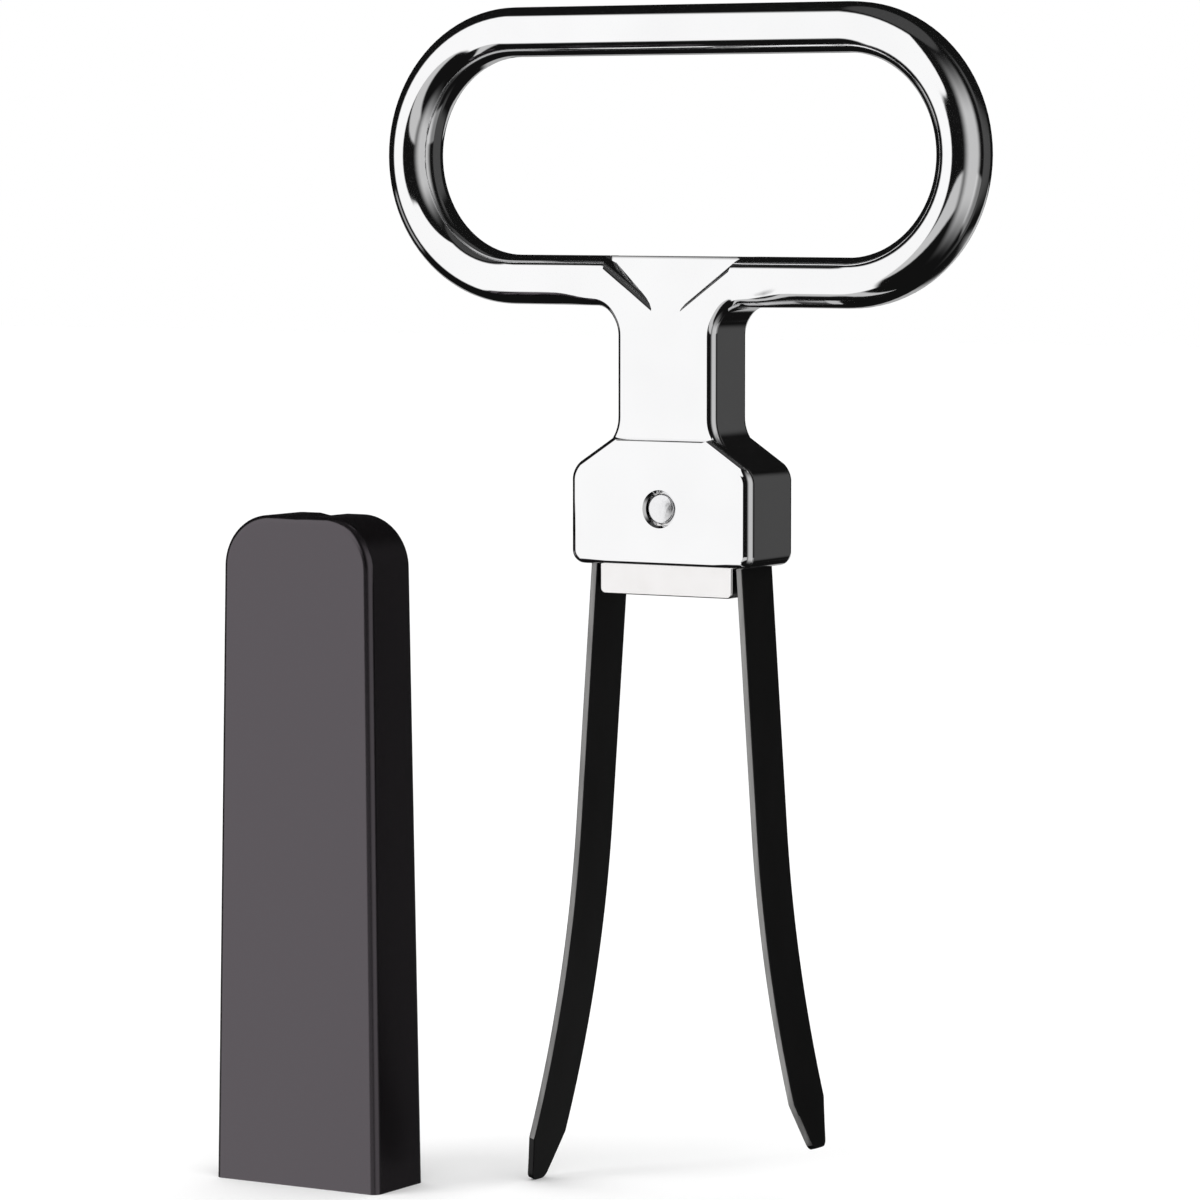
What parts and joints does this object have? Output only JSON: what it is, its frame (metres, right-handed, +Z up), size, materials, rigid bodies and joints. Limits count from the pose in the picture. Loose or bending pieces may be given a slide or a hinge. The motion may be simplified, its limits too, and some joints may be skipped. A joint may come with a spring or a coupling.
{
  "type": "twin-prong cork puller",
  "caption": "Prong cork puller: chromed ring handle with neck and block, pinned spacer, outward-bowed spring prongs of unequal reach, and a tapered slip-on sheath standing beside it.",
  "frame": {"origin": "centre of the ring handle, midway through its bar's depth", "axes": "+X along the ring towards the short prong, +Y to the back, +Z up from the prongs to the ring"},
  "size_m": [0.0964, 0.0252, 0.1443],
  "materials": {
    "chrome_casting": "mirror-bright chrome plate on a casting",
    "satin_steel": "satin",
    "polished_pin": "polished",
    "black_spring_steel": "black coating, satin, worn bright along the edges",
    "sheath_plastic": "fine satin moulded plastic"
  },
  "bodies": {
    "tool": {"handle": "chrome_casting", "prong_spacer": "satin_steel", "cross_pin": "polished_pin"},
    "long_prong": {"long_prong": "black_spring_steel"},
    "short_prong": {"short_prong": "black_spring_steel"},
    "sheath": {"sheath": "sheath_plastic"}
  },
  "joints": [
    {"name": "long_prong_flex", "type": "hinge", "parent": "tool", "child": "long_prong", "pos_m": [-0.00987, 0, -0.0466], "axis": [0, -1, 0], "range_deg": [-2, 5], "stiffness_Nm_per_rad": 1.5},
    {"name": "short_prong_flex", "type": "hinge", "parent": "tool", "child": "short_prong", "pos_m": [0.00987, 0, -0.0466], "axis": [0, 1, 0], "range_deg": [-2, 5], "stiffness_Nm_per_rad": 1.5},
    {"name": "sheath_lift", "type": "slide", "parent": "tool", "child": "sheath", "axis": [0, 0, 1], "range_m": [0, 0.1]}
  ]
}
